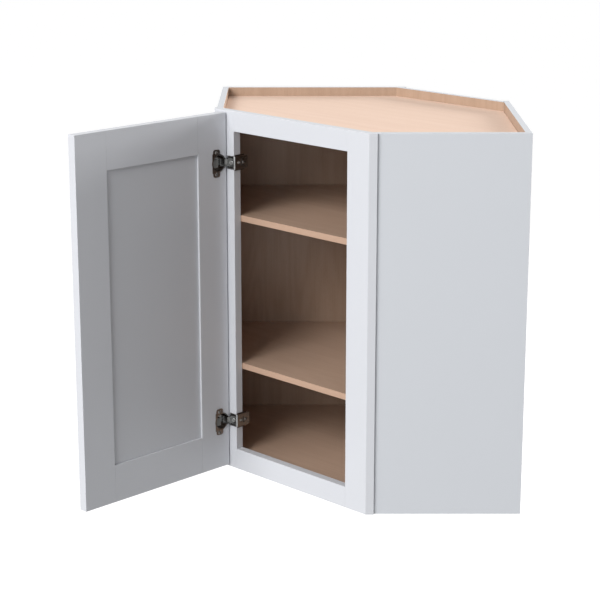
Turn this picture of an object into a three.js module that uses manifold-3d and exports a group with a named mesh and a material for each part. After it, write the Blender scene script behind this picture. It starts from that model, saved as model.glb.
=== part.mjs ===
// Diagonal corner wall cabinet with one framed door, shown open at a right angle.
// Millimetres, +Z up, the front faces -Y and the room's corner lies towards +Y.
import * as THREE from 'three';
import { mergeVertices } from 'three/addons/utils/BufferGeometryUtils.js';
import Module from 'manifold-3d';

const wasm = await Module();
wasm.setup();

// Cabinet, seen in plan. "Off wall" is the distance from a wall and "along wall" the distance from
// the room's corner.
const CABINET_HEIGHT = 762;
const WALL_LENGTH = 609.6;
const FRAME_FRONT_WIDTH = 428;
const FRAME_THICKNESS = 18;
const FRAME_BEVEL = 16.7;
const SIDE_OVERHANG = 4.5;
const PANEL_THICKNESS = 12.7;
const BACK_END_ALONG_WALL = 203.2;
const CORNER_TO_ORIGIN = 155.6;
const STILE_WIDTH = 56;
const TOP_RAIL_HEIGHT = 41;
const BOTTOM_RAIL_HEIGHT = 43.5;
const TOP_PANEL_BELOW_TOP = 19;
const BOTTOM_PANEL_SURFACE_Z = 31.8;

// Shelves and the pins that carry them
const SHELF_THICKNESS = 12.7;
const SHELF_SURFACES_Z = { upper: 545.5, lower: 229.5 };
const SHELF_SIDE_CLEARANCE = 1.6;
const SHELF_FRONT_CLEARANCE = 1;
const SHELF_PIN_RADIUS = 2.35;
const SHELF_PIN_HOLE_RADIUS = 2.6;
const SHELF_PIN_HOLE_DEPTH = 9;
const SHELF_PIN_PITCH = 32;
const SHELF_PIN_PLUG = 8.7;
const SHELF_PIN_TAB = { reach: 9, width: 9, thickness: 2, drop: 5 };
const SIDE_PIN_SETBACK = { rear: 55, front: 53.3 };
const BACK_PIN_ALONG_WALL = 262;

// Door, in door terms: "along" from the hinge edge, "deep" from the inner face
const DOOR_OVERLAY = 35;
const DOOR_TOP_REVEAL = 3.7;
const DOOR_BOTTOM_REVEAL = 5;
const DOOR_THICKNESS = 19;
const DOOR_CLOSED_GAP = 3.8;
const DOOR_STILE_WIDTH = 76;
const DOOR_RAIL_WIDTH = 77.5;
const DOOR_BACK_RECESS = 5.2;
const DOOR_PANEL_THICKNESS = 6.4;
const DOOR_PANEL_TONGUE = 10;

// Concealed hinges: the pin stands in the cup, the arm turns on it and wraps the stile
const HINGE_FROM_DOOR_END = 101.5;
const HINGE_PIN_ALONG = 8;
const HINGE_PIN_DEEP = 7.2;
const HINGE_PIN_RADIUS = 1.25;
const HINGE_RUNNING_CLEARANCE = 0.08;
const HINGE_KNUCKLE_RADIUS = 2.3;
const HINGE_KNUCKLE_LENGTH = 15;
const CUP_CENTRE_ALONG = 20.5;
const CUP_RADIUS = 17.5;
const CUP_WALL = 0.9;
const CUP_RIM_RADIUS = 18.5;
const CUP_FLANGE_THICKNESS = 1;
const CUP_FLANGE_ALONG = [18, 38];
const CUP_FLANGE_HEIGHT = 40;
const CUP_FLANGE_CORNER = 1.5;
const CUP_EAR_ALONG = [18, 36];
const CUP_EAR_SPAN = 57;
const CUP_EAR_CORNER = 5;
const CUP_SCREW_ALONG = 28.5;
const CUP_SCREW_SPACING = 45;
const CUP_CHEEK = { pastPin: 3.5, thickness: 1.4 };
const CUP_DAMPER = { height: 17, setIn: 0.4, clearance: 0.8 };
const ARM_THICKNESS = 1.6;
const ARM_LEG_TOP_BELOW_PIN = 0.8;
const ARM_SWEEP_CLEARANCE = 0.5;
const ARM_FRONT_LEAF = { pastRiser: 3.5, slotHeight: 2.6, slotFromEdge: 2.2, slotFromEnd: 2.6 };
const ARM_LEAF_HEIGHT = 27.2;
const ARM_BEND_RADIUS = 3;
const ARM_JAMB_LEAF = { depth: 34, corner: 4 };
const ARM_SLOT = { depth: 16.9, width: 4, height: 13 };
const ARM_SPARE_HOLES = { depth: 30.4, spacing: 16, radius: 1.3 };
const ARM_CAM = { radius: 4.2, proud: 0.9, slotWidth: 1, slotLength: 6 };
const PLATE_THICKNESS = 1.5;
const PLATE_HEIGHT = 32;
const PLATE_HOOK = 9;
const PLATE_DEPTH = 27;
const PLATE_SET_BACK = 1;
const MOUNTING_SCREW_DEPTH = 10.4;
const ADJUSTER_DEPTH = 23;
const SCREW = { length: 13, shank: 1.4, tip: 0.4, point: 3, head: 3.3, headHeight: 1.4 };
const SCREW_SLOT = { width: 0.9, reach: 1.8 };

// Touching pieces stand this far apart, and a cutting tool runs this far past the face that it opens.
const GAP = 0.3;
const PAST = 1;
const ROUND_SEGMENTS = 40;
const SMALL_ROUND_SEGMENTS = 20;
const BEND_STEPS = 6;
const ROOT2 = Math.SQRT2;

const paintedSide = { color: 0xd0d3d8, roughness: 0.5, metalness: 0 };
const paintedFrame = { color: 0xe6e8ee, roughness: 0.42, metalness: 0 };
const maple = { color: 0xeccdb5, roughness: 0.5, metalness: 0 };
const nickel = { color: 0x8a8580, roughness: 0.32, metalness: 1 };
const zinc = { color: 0xb4b2ae, roughness: 0.3, metalness: 1 };

function piece(parent, name, geometry, finish) {
  const mesh = new THREE.Mesh(geometry, new THREE.MeshStandardMaterial(finish));
  mesh.name = name;
  parent.add(mesh);
  return mesh;
}

function subgroup(parent) {
  const child = new THREE.Group();
  parent.add(child);
  return child;
}

// Solids

function toManifold(geometry) {
  const bare = geometry.clone();
  bare.deleteAttribute('normal');
  bare.deleteAttribute('uv');
  const merged = mergeVertices(bare, 1e-4);
  return new wasm.Manifold(new wasm.Mesh({
    numProp: 3,
    vertProperties: new Float32Array(merged.attributes.position.array),
    triVerts: new Uint32Array(merged.index.array),
  }));
}

function toGeometry(manifold) {
  const mesh = manifold.getMesh();
  const geometry = new THREE.BufferGeometry();
  geometry.setAttribute('position', new THREE.BufferAttribute(new Float32Array(mesh.vertProperties), 3));
  geometry.setIndex(new THREE.BufferAttribute(new Uint32Array(mesh.triVerts), 1));
  const flat = geometry.toNonIndexed();
  flat.computeVertexNormals();
  return flat;
}

function union(geometries) {
  return toGeometry(geometries.map(toManifold).reduce((sum, part) => sum.add(part)));
}

function cut(geometry, tools) {
  return toGeometry(tools.map(toManifold).reduce((rest, tool) => rest.subtract(tool), toManifold(geometry)));
}

function common(a, b) {
  return toGeometry(toManifold(a).intersect(toManifold(b)));
}

function box(x, y, z) {
  const geometry = new THREE.BoxGeometry(x[1] - x[0], y[1] - y[0], z[1] - z[0]);
  return geometry.translate((x[0] + x[1]) / 2, (y[0] + y[1]) / 2, (z[0] + z[1]) / 2);
}

// A plan outline, as [x, y] points, raised between two heights.
function raise(outline, bottom, top) {
  const shape = new THREE.Shape(outline.map(([x, y]) => new THREE.Vector2(x, y)));
  const geometry = new THREE.ExtrudeGeometry(shape, { depth: top - bottom, bevelEnabled: false });
  return geometry.translate(0, 0, bottom);
}

// A round bar whose axis runs from one point to another.
function bar(from, to, radius, segments = SMALL_ROUND_SEGMENTS) {
  const start = new THREE.Vector3(...from);
  const along = new THREE.Vector3(...to).sub(start);
  const geometry = new THREE.CylinderGeometry(radius, radius, along.length(), segments);
  const turn = new THREE.Quaternion();
  turn.setFromUnitVectors(new THREE.Vector3(0, 1, 0), along.clone().normalize());
  geometry.applyQuaternion(turn);
  return geometry.translate(start.x + along.x / 2, start.y + along.y / 2, start.z + along.z / 2);
}

// Plan positions. side is +1 for the viewer's right and -1 for the left.

function onPlan(side, alongWall, offWall) {
  return [side * (alongWall - offWall) / ROOT2, CORNER_TO_ORIGIN - (alongWall + offWall) / ROOT2];
}

const frameCornerOffWall = WALL_LENGTH - FRAME_FRONT_WIDTH / ROOT2;
const frameFrontY = CORNER_TO_ORIGIN - (WALL_LENGTH + frameCornerOffWall) / ROOT2;
const frameBackY = frameFrontY + FRAME_THICKNESS;
const openingHalf = FRAME_FRONT_WIDTH / 2 - STILE_WIDTH;
const notchOffWall = frameCornerOffWall - FRAME_BEVEL;
const sideOuter = WALL_LENGTH - SIDE_OVERHANG;
const sideInner = sideOuter - PANEL_THICKNESS;

// How far off the wall a line across the front at a given y is, at one distance along the wall.
function offWallAtY(y, alongWall) {
  return (CORNER_TO_ORIGIN - y) * ROOT2 - alongWall;
}

// Carcass

function sidePanel(side) {
  const seatOffWall = notchOffWall - GAP;
  const seatY = frameBackY + GAP;
  const seatAlong = (CORNER_TO_ORIGIN - seatY) * ROOT2 - seatOffWall;
  const outline = [
    onPlan(side, sideOuter, 0),
    onPlan(side, sideOuter, seatOffWall),
    onPlan(side, seatAlong, seatOffWall),
    onPlan(side, sideInner, offWallAtY(seatY, sideInner)),
    onPlan(side, sideInner, 0),
  ];
  return cut(raise(outline, 0, CABINET_HEIGHT), pinHoles(sidePinColumns(side)));
}

function backPanel(side) {
  const nearSide = sideInner - GAP;
  const outline = [
    onPlan(side, BACK_END_ALONG_WALL, 0),
    onPlan(side, nearSide, 0),
    onPlan(side, nearSide, PANEL_THICKNESS),
    onPlan(side, BACK_END_ALONG_WALL, PANEL_THICKNESS),
  ];
  return cut(raise(outline, 0, CABINET_HEIGHT), pinHoles(backPinColumns(side)));
}

function cornerPanel() {
  const offWall = PANEL_THICKNESS + GAP;
  const halfAtY = (y) => (CORNER_TO_ORIGIN - y) - offWall * ROOT2;
  const outline = [
    [-halfAtY(0), 0],
    [-halfAtY(-PANEL_THICKNESS), -PANEL_THICKNESS],
    [halfAtY(-PANEL_THICKNESS), -PANEL_THICKNESS],
    [halfAtY(0), 0],
  ];
  return raise(outline, 0, CABINET_HEIGHT);
}

// The floor plan inside the walls, held back from them and from the face frame.
function insideOutline(clearance, frontClearance) {
  const offWall = PANEL_THICKNESS + clearance;
  const along = sideInner - clearance;
  const frontY = frameBackY + frontClearance;
  const cornerY = -PANEL_THICKNESS - clearance;
  const half = (side) => [
    onPlan(side, along, offWallAtY(frontY, along)),
    onPlan(side, along, offWall),
    [side * ((CORNER_TO_ORIGIN - cornerY) - offWall * ROOT2), cornerY],
  ];
  return [...half(1), ...half(-1).reverse()];
}

function deck(surfaceZ) {
  return raise(insideOutline(GAP, GAP), surfaceZ - PANEL_THICKNESS, surfaceZ);
}

// Face frame

function stile(side) {
  const seatAlong = (CORNER_TO_ORIGIN - frameBackY) * ROOT2 - notchOffWall;
  const outline = [
    [side * openingHalf, frameFrontY],
    onPlan(side, WALL_LENGTH, frameCornerOffWall),
    onPlan(side, WALL_LENGTH, notchOffWall),
    onPlan(side, seatAlong, notchOffWall),
    [side * openingHalf, frameBackY],
  ];
  return raise(outline, 0, CABINET_HEIGHT);
}

function rail(bottom, top) {
  const reach = openingHalf - GAP / 2;
  return box([-reach, reach], [frameFrontY, frameBackY], [bottom, top]);
}

// Shelves

function shelf(surfaceZ) {
  const outline = insideOutline(SHELF_SIDE_CLEARANCE, SHELF_FRONT_CLEARANCE);
  return raise(outline, surfaceZ - SHELF_THICKNESS, surfaceZ);
}

function pinZ(surfaceZ) {
  return surfaceZ - SHELF_THICKNESS - GAP - SHELF_PIN_TAB.thickness - SHELF_PIN_RADIUS;
}

// A column of pin holes: its mouth on the panel's inner face, and the unit direction into the cabinet.
function pinColumn(name, mouth, towards) {
  const inward = new THREE.Vector2(towards[0] - mouth[0], towards[1] - mouth[1]).normalize();
  return { name, mouth, inward };
}

// The rear column is set back from the wall, and the front one from where the panel meets the frame.
function sidePinColumns(side) {
  const frontEnd = offWallAtY(frameBackY + GAP, sideInner);
  const offWall = { rear: SIDE_PIN_SETBACK.rear, front: frontEnd - SIDE_PIN_SETBACK.front };
  return Object.entries(offWall).map(([name, off]) => (
    pinColumn(name, onPlan(side, sideInner, off), onPlan(side, 0, off))
  ));
}

function backPinColumns(side) {
  const along = BACK_PIN_ALONG_WALL;
  return [pinColumn('back', onPlan(side, along, PANEL_THICKNESS), onPlan(side, along, WALL_LENGTH))];
}

// Three holes per shelf and column, so that each shelf can go one place up or down.
function pinHoles(columns) {
  const at = ({ mouth, inward }, out, z) => [mouth[0] + inward.x * out, mouth[1] + inward.y * out, z];
  return columns.flatMap((column) => Object.values(SHELF_SURFACES_Z).flatMap((surfaceZ) => (
    [-1, 0, 1].map((step) => {
      const z = pinZ(surfaceZ) + step * SHELF_PIN_PITCH;
      return bar(at(column, PAST, z), at(column, -SHELF_PIN_HOLE_DEPTH, z), SHELF_PIN_HOLE_RADIUS);
    })
  )));
}

// One shelf support: a round plug in the panel and a flat tab under the shelf, built to point along +Y.
function supportPin() {
  const { reach, width, thickness, drop } = SHELF_PIN_TAB;
  const half = width / 2;
  const tabBottom = SHELF_PIN_RADIUS;
  return union([
    bar([0, -SHELF_PIN_PLUG, 0], [0, GAP + thickness, 0], SHELF_PIN_RADIUS),
    box([-half, half], [GAP, GAP + thickness], [-SHELF_PIN_RADIUS - drop, tabBottom + thickness]),
    box([-half, half], [GAP, reach], [tabBottom, tabBottom + thickness]),
  ]);
}

// Door at rest: open at a right angle, its inner face towards +X and its free edge towards -Y.

const doorWidth = 2 * (openingHalf + DOOR_OVERLAY);
const doorBottomZ = DOOR_BOTTOM_REVEAL;
const doorTopZ = CABINET_HEIGHT - DOOR_TOP_REVEAL;
const hingePinX = -(openingHalf + DOOR_OVERLAY) + HINGE_PIN_ALONG;
const hingePinY = frameFrontY - DOOR_CLOSED_GAP - HINGE_PIN_DEEP;
const doorInnerX = hingePinX + HINGE_PIN_DEEP;
const doorHingeEdgeY = hingePinY + HINGE_PIN_ALONG;
const hingeHeights = {
  upper: doorTopZ - HINGE_FROM_DOOR_END,
  lower: doorBottomZ + HINGE_FROM_DOOR_END,
};

function doorBox(along, deep, z) {
  return box(
    [doorInnerX - deep[1], doorInnerX - deep[0]],
    [doorHingeEdgeY - along[1], doorHingeEdgeY - along[0]],
    z,
  );
}

function doorBar(along, z, deepFrom, deepTo, radius, segments) {
  const y = doorHingeEdgeY - along;
  return bar([doorInnerX - deepFrom, y, z], [doorInnerX - deepTo, y, z], radius, segments);
}

const cupInnerDepth = HINGE_PIN_DEEP + HINGE_KNUCKLE_RADIUS + GAP;
const panelDeep = [DOOR_BACK_RECESS, DOOR_BACK_RECESS + DOOR_PANEL_THICKNESS];
const grooveDeep = [panelDeep[0] - GAP, panelDeep[1] + GAP];
const grooveDepth = DOOR_PANEL_TONGUE + GAP;
const fullDeep = [0, DOOR_THICKNESS];
const stileRun = [doorBottomZ - PAST, doorTopZ + PAST];

function doorFreeStile() {
  const along = [doorWidth - DOOR_STILE_WIDTH, doorWidth];
  const groove = doorBox([along[0] - PAST, along[0] + grooveDepth], grooveDeep, stileRun);
  return cut(doorBox(along, fullDeep, [doorBottomZ, doorTopZ]), [groove]);
}

function doorHingeStile() {
  const end = DOOR_STILE_WIDTH;
  const tools = [doorBox([end - grooveDepth, end + PAST], grooveDeep, stileRun)];
  for (const z of Object.values(hingeHeights)) {
    const boreDepth = cupInnerDepth + CUP_WALL + GAP;
    tools.push(doorBar(CUP_CENTRE_ALONG, z, -PAST, boreDepth, CUP_RADIUS + GAP, ROUND_SEGMENTS));
    for (const screwZ of [z - CUP_SCREW_SPACING / 2, z + CUP_SCREW_SPACING / 2]) {
      tools.push(doorBar(CUP_SCREW_ALONG, screwZ, -PAST, SCREW.length, SCREW.shank + GAP));
    }
  }
  return cut(doorBox([0, end], fullDeep, [doorBottomZ, doorTopZ]), tools);
}

// A rail ends in tongues that fill the stiles' grooves, and is grooved for the panel on its inner edge.
function doorRail(z, grooveZ) {
  const along = [DOOR_STILE_WIDTH + GAP, doorWidth - DOOR_STILE_WIDTH - GAP];
  const tongue = [along[0] - DOOR_PANEL_TONGUE, along[1] + DOOR_PANEL_TONGUE];
  const body = union([doorBox(along, fullDeep, z), doorBox(tongue, panelDeep, z)]);
  return cut(body, [doorBox([tongue[0] - PAST, tongue[1] + PAST], grooveDeep, grooveZ)]);
}

function doorPanel() {
  const inset = DOOR_STILE_WIDTH - DOOR_PANEL_TONGUE;
  const along = [inset, doorWidth - inset];
  const insetZ = DOOR_RAIL_WIDTH - DOOR_PANEL_TONGUE;
  return doorBox(along, panelDeep, [doorBottomZ + insetZ, doorTopZ - insetZ]);
}

// Hinges, built about z = 0 and raised into place

const pinLength = HINGE_KNUCKLE_LENGTH + 2 * (GAP + CUP_CHEEK.thickness);
const pinHoleRadius = HINGE_PIN_RADIUS + HINGE_RUNNING_CLEARANCE;
// How far the turning cup reaches from its pin: the arm's riser stays outside it.
const doorSweep = Math.hypot(HINGE_PIN_ALONG, HINGE_PIN_DEEP + CUP_FLANGE_THICKNESS + GAP);
const armReach = doorSweep + ARM_SWEEP_CLEARANCE + ARM_THICKNESS;

const cupScrewX = doorInnerX + CUP_FLANGE_THICKNESS + 2 * GAP;
const cupScrewZ = { bottom: -CUP_SCREW_SPACING / 2, top: CUP_SCREW_SPACING / 2 };

// A sheet on the door's inner face with rounded corners.
function doorSheet([near, far], height, corner) {
  const top = height / 2;
  const shape = new THREE.Shape();
  shape.moveTo(near, -top + corner);
  shape.absarc(near + corner, -top + corner, corner, Math.PI, 1.5 * Math.PI);
  shape.absarc(far - corner, -top + corner, corner, 1.5 * Math.PI, 2 * Math.PI);
  shape.absarc(far - corner, top - corner, corner, 0, 0.5 * Math.PI);
  shape.absarc(near + corner, top - corner, corner, 0.5 * Math.PI, Math.PI);
  const sheet = new THREE.ExtrudeGeometry(shape, {
    depth: CUP_FLANGE_THICKNESS,
    bevelEnabled: false,
    curveSegments: 5,
  });
  // The sketch plane (along, height) becomes the door's inner face.
  const toDoor = new THREE.Matrix4().makeBasis(
    new THREE.Vector3(0, -1, 0),
    new THREE.Vector3(0, 0, 1),
    new THREE.Vector3(-1, 0, 0),
  );
  toDoor.setPosition(doorInnerX + CUP_FLANGE_THICKNESS + GAP, doorHingeEdgeY, 0);
  return sheet.applyMatrix4(toDoor);
}

// The sprung damper fills the far side of the cup, just outside the turning arm's reach.
function cupDamper(outerEnd) {
  const near = HINGE_PIN_ALONG + Math.hypot(armReach, HINGE_KNUCKLE_RADIUS) + CUP_DAMPER.clearance;
  const half = CUP_DAMPER.height / 2;
  const block = doorBox([near, CUP_CENTRE_ALONG + CUP_RADIUS], [CUP_DAMPER.setIn, outerEnd], [-half, half]);
  return common(block, doorBar(CUP_CENTRE_ALONG, 0, 0, outerEnd, CUP_RADIUS - CUP_WALL / 2, ROUND_SEGMENTS));
}

function hingeCup() {
  const outerEnd = cupInnerDepth + CUP_WALL;
  const proud = -GAP - CUP_FLANGE_THICKNESS;
  const shell = cut(
    union([
      doorSheet(CUP_FLANGE_ALONG, CUP_FLANGE_HEIGHT, CUP_FLANGE_CORNER),
      doorSheet(CUP_EAR_ALONG, CUP_EAR_SPAN, CUP_EAR_CORNER),
      doorBar(CUP_CENTRE_ALONG, 0, proud, -GAP, CUP_RIM_RADIUS, ROUND_SEGMENTS),
      doorBar(CUP_CENTRE_ALONG, 0, proud / 2, outerEnd, CUP_RADIUS, ROUND_SEGMENTS),
    ]),
    [
      doorBar(CUP_CENTRE_ALONG, 0, proud - PAST, cupInnerDepth, CUP_RADIUS - CUP_WALL, ROUND_SEGMENTS),
      ...Object.values(cupScrewZ).map((z) => (
        doorBar(CUP_SCREW_ALONG, z, proud - PAST, PAST, SCREW.shank + GAP)
      )),
    ],
  );
  const inner = HINGE_KNUCKLE_LENGTH / 2 + GAP;
  const outer = pinLength / 2;
  const inCup = doorBar(CUP_CENTRE_ALONG, 0, 0, outerEnd, CUP_RADIUS - CUP_WALL / 2, ROUND_SEGMENTS);
  const cheekAlong = [0, HINGE_PIN_ALONG + CUP_CHEEK.pastPin];
  const cheekDeep = [HINGE_PIN_DEEP - CUP_CHEEK.pastPin, cupInnerDepth + CUP_WALL / 2];
  const cheekZ = [[-outer, -inner], [inner, outer]];
  const cheeks = cheekZ.map((z) => common(doorBox(cheekAlong, cheekDeep, z), inCup));
  const filled = union([shell, cupDamper(outerEnd), ...cheeks]);
  return cut(filled, [hingeBar(pinHoleRadius, pinLength + PAST)]);
}

function hingeBar(radius, length) {
  return bar([hingePinX, hingePinY, -length / 2], [hingePinX, hingePinY, length / 2], radius, ROUND_SEGMENTS);
}

function hingePin() {
  return hingeBar(HINGE_PIN_RADIUS, pinLength);
}

const jambX = -openingHalf;
const plateX = [jambX + GAP, jambX + GAP + PLATE_THICKNESS];
const armJambX = [plateX[1] + GAP, plateX[1] + GAP + ARM_THICKNESS];
const throughArm = armJambX[1] - jambX + PAST;
const frontLeafY = [frameFrontY - GAP - ARM_THICKNESS, frameFrontY - GAP];

// The strip of sheet that wraps the stile, in plan: along its front, round a bend and along its jamb.
function wrapOutline(frontEndX, jambEndY) {
  const centre = [armJambX[1] - ARM_BEND_RADIUS, frontLeafY[0] + ARM_BEND_RADIUS];
  const bend = (radius, turn) => [
    centre[0] + radius * Math.sin(turn),
    centre[1] - radius * Math.cos(turn),
  ];
  const turns = Array.from({ length: BEND_STEPS + 1 }, (_, step) => (step / BEND_STEPS) * (Math.PI / 2));
  return [
    [frontEndX, frontLeafY[0]],
    ...turns.map((turn) => bend(ARM_BEND_RADIUS, turn)),
    [armJambX[1], jambEndY],
    [armJambX[0], jambEndY],
    ...turns.reverse().map((turn) => bend(ARM_BEND_RADIUS - ARM_THICKNESS, turn)),
    [frontEndX, frontLeafY[1]],
  ];
}

// What rounds a corner of the jamb leaf off. way is +1 for the upper corner and -1 for the lower.
function leafCorner(way, endY) {
  const { corner } = ARM_JAMB_LEAF;
  const z = [ARM_LEAF_HEIGHT / 2 - corner, ARM_LEAF_HEIGHT / 2 + PAST].map((height) => way * height);
  const y = endY - corner;
  const through = [armJambX[0] - PAST, armJambX[1] + PAST];
  const block = box(through, [y, endY + PAST], z.sort((low, high) => low - high));
  const centreZ = way * (ARM_LEAF_HEIGHT / 2 - corner);
  return cut(block, [bar([through[0] - PAST, y, centreZ], [through[1] + PAST, y, centreZ], corner)]);
}

// The arm: a knuckle on the pin, a leg out of the cup, a riser to the stile, then the leaf that wraps
// the stile, with slots for its adjustment and a cam on its front.
function hingeArm() {
  const half = HINGE_KNUCKLE_LENGTH / 2;
  const legY = [hingePinY - HINGE_KNUCKLE_RADIUS, hingePinY - ARM_LEG_TOP_BELOW_PIN];
  const riserX = [hingePinX + armReach - ARM_THICKNESS, hingePinX + armReach];
  const frontEndX = riserX[0] - ARM_FRONT_LEAF.pastRiser;
  const jambEndY = frameFrontY + ARM_JAMB_LEAF.depth;
  const top = ARM_LEAF_HEIGHT / 2;
  const camX = (riserX[1] + armJambX[1] - ARM_BEND_RADIUS) / 2;
  const camY = frontLeafY[0] - ARM_CAM.proud;
  const body = union([
    hingeBar(HINGE_KNUCKLE_RADIUS, HINGE_KNUCKLE_LENGTH),
    box([hingePinX, riserX[1]], legY, [-half, half]),
    box(riserX, [legY[0], frontLeafY[1]], [-half, half]),
    raise(wrapOutline(frontEndX, jambEndY), -top, top),
    bar([camX, camY, 0], [camX, frontLeafY[1], 0], ARM_CAM.radius),
  ]);
  const slotX = [frontEndX + ARM_FRONT_LEAF.slotFromEnd, armJambX[1] - ARM_BEND_RADIUS];
  const slotTop = top - ARM_FRONT_LEAF.slotFromEdge;
  const throughFront = [frontLeafY[0] - PAST, frontLeafY[1] + PAST];
  const throughJamb = [armJambX[0] - PAST, armJambX[1] + PAST];
  const slotY = frameFrontY + ARM_SLOT.depth;
  return cut(body, [
    hingeBar(pinHoleRadius, HINGE_KNUCKLE_LENGTH + PAST),
    box(slotX, throughFront, [slotTop - ARM_FRONT_LEAF.slotHeight, slotTop]),
    box(slotX, throughFront, [-slotTop, ARM_FRONT_LEAF.slotHeight - slotTop]),
    box(
      [camX - ARM_CAM.slotLength / 2, camX + ARM_CAM.slotLength / 2],
      [camY - PAST, frontLeafY[0]],
      [-ARM_CAM.slotWidth / 2, ARM_CAM.slotWidth / 2],
    ),
    box(throughJamb, [slotY - ARM_SLOT.width / 2, slotY + ARM_SLOT.width / 2], [
      -ARM_SLOT.height / 2,
      ARM_SLOT.height / 2,
    ]),
    jambBar(MOUNTING_SCREW_DEPTH, 0, 0, throughArm, SCREW.head + GAP),
    jambBar(ADJUSTER_DEPTH, 0, 0, throughArm, SCREW.shank + GAP),
    jambBar(ARM_SPARE_HOLES.depth, ARM_SPARE_HOLES.spacing / 2, 0, throughArm, ARM_SPARE_HOLES.radius),
    jambBar(ARM_SPARE_HOLES.depth, -ARM_SPARE_HOLES.spacing / 2, 0, throughArm, ARM_SPARE_HOLES.radius),
    leafCorner(1, jambEndY),
    leafCorner(-1, jambEndY),
  ]);
}

// A bar square to the jamb, at a depth behind the frame's front; from and to are measured out of the jamb.
function jambBar(depth, z, from, to, radius) {
  const y = frameFrontY + depth;
  return bar([jambX + from, y, z], [jambX + to, y, z], radius);
}

function hingePlate() {
  const half = PLATE_HEIGHT / 2;
  const hookY = [frameBackY + GAP, frameBackY + GAP + PLATE_THICKNESS];
  const body = union([
    box(plateX, [frameFrontY + PLATE_SET_BACK, frameFrontY + PLATE_DEPTH], [-half, half]),
    box([jambX - PLATE_HOOK, plateX[1]], hookY, [-half, half]),
  ]);
  return cut(body, [
    jambBar(MOUNTING_SCREW_DEPTH, 0, 0, throughArm, SCREW.shank + GAP),
    jambBar(ADJUSTER_DEPTH, 0, 0, throughArm, SCREW.shank + GAP),
  ]);
}

// A screw along +X: the shank goes to -X from the head's seat at x = 0.
function screw(length) {
  const { shank, tip, point, head, headHeight } = SCREW;
  const { reach } = SCREW_SLOT;
  const half = SCREW_SLOT.width / 2;
  const profile = [
    [0, -length],
    [tip, -length],
    [shank, Math.min(point - length, 0)],
    [shank, 0],
    [head, 0],
    [head, headHeight / 2],
    [reach, headHeight],
    [0, headHeight],
  ].map(([radius, x]) => new THREE.Vector2(radius, x));
  const turned = new THREE.LatheGeometry(profile, SMALL_ROUND_SEGMENTS).rotateZ(-Math.PI / 2);
  const deep = [headHeight / 2, headHeight + PAST];
  return cut(turned, [
    box(deep, [-half, half], [-reach, reach]),
    box(deep, [-reach, reach], [-half, half]),
  ]);
}

function adjusterScrew() {
  return screw(armJambX[1] - jambX - GAP);
}

// A mounting screw bites into the stile's jamb at each hinge, so its edge is drilled for them.
function leftStile() {
  return cut(stile(-1), Object.values(hingeHeights).map((z) => (
    jambBar(MOUNTING_SCREW_DEPTH, z, PAST, -SCREW.length, SCREW.shank + GAP)
  )));
}

// Assembly

const cabinet = new THREE.Group();
cabinet.name = 'corner_wall_cabinet';
const hands = { left: -1, right: 1 };

const carcass = subgroup(cabinet);
for (const [hand, side] of Object.entries(hands)) {
  piece(carcass, `${hand}_side_panel`, sidePanel(side), paintedSide);
  piece(carcass, `${hand}_back_panel`, backPanel(side), maple);
}
piece(carcass, 'corner_back_panel', cornerPanel(), maple);
piece(carcass, 'top_panel', deck(CABINET_HEIGHT - TOP_PANEL_BELOW_TOP), maple);
piece(carcass, 'bottom_panel', deck(BOTTOM_PANEL_SURFACE_Z), maple);

const faceFrame = subgroup(cabinet);
piece(faceFrame, 'left_stile', leftStile(), paintedFrame);
piece(faceFrame, 'right_stile', stile(1), paintedFrame);
piece(faceFrame, 'top_rail', rail(CABINET_HEIGHT - TOP_RAIL_HEIGHT, CABINET_HEIGHT), paintedFrame);
piece(faceFrame, 'bottom_rail', rail(0, BOTTOM_RAIL_HEIGHT), paintedFrame);

for (const [name, surfaceZ] of Object.entries(SHELF_SURFACES_Z)) {
  const shelving = subgroup(cabinet);
  piece(shelving, `${name}_shelf`, shelf(surfaceZ), maple);
  for (const [hand, side] of Object.entries(hands)) {
    for (const { name: place, mouth, inward } of [...sidePinColumns(side), ...backPinColumns(side)]) {
      const pin = piece(shelving, `${name}_shelf_pin_${hand}_${place}`, supportPin(), zinc);
      pin.position.set(mouth[0], mouth[1], pinZ(surfaceZ));
      pin.rotation.z = inward.angle() - Math.PI / 2;
    }
  }
}

const door = subgroup(cabinet);
const bottomRailTop = doorBottomZ + DOOR_RAIL_WIDTH;
const topRailBottom = doorTopZ - DOOR_RAIL_WIDTH;
const bottomGroove = [bottomRailTop - grooveDepth, bottomRailTop + PAST];
const topGroove = [topRailBottom - PAST, topRailBottom + grooveDepth];
piece(door, 'door_hinge_stile', doorHingeStile(), paintedFrame);
piece(door, 'door_free_stile', doorFreeStile(), paintedFrame);
piece(door, 'door_top_rail', doorRail([topRailBottom, doorTopZ], topGroove), paintedFrame);
piece(door, 'door_bottom_rail', doorRail([doorBottomZ, bottomRailTop], bottomGroove), paintedFrame);
piece(door, 'door_centre_panel', doorPanel(), paintedFrame);

for (const [name, z] of Object.entries(hingeHeights)) {
  const hinge = subgroup(cabinet);
  hinge.position.z = z;
  piece(hinge, `${name}_hinge_cup`, hingeCup(), nickel);
  piece(hinge, `${name}_hinge_pin`, hingePin(), zinc);
  piece(hinge, `${name}_hinge_arm`, hingeArm(), nickel);
  piece(hinge, `${name}_hinge_plate`, hingePlate(), nickel);
  const adjuster = piece(hinge, `${name}_hinge_adjuster`, adjusterScrew(), zinc);
  adjuster.position.set(armJambX[1] + GAP, frameFrontY + ADJUSTER_DEPTH, 0);
  const inStile = piece(hinge, `${name}_hinge_mounting_screw`, screw(SCREW.length), zinc);
  inStile.position.set(plateX[1] + GAP, frameFrontY + MOUNTING_SCREW_DEPTH, 0);
  for (const [place, z] of Object.entries(cupScrewZ)) {
    const inDoor = piece(hinge, `${name}_hinge_cup_screw_${place}`, screw(SCREW.length), zinc);
    inDoor.position.set(cupScrewX, doorHingeEdgeY - CUP_SCREW_ALONG, z);
  }
}

export default cabinet;
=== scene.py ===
import math

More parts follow.
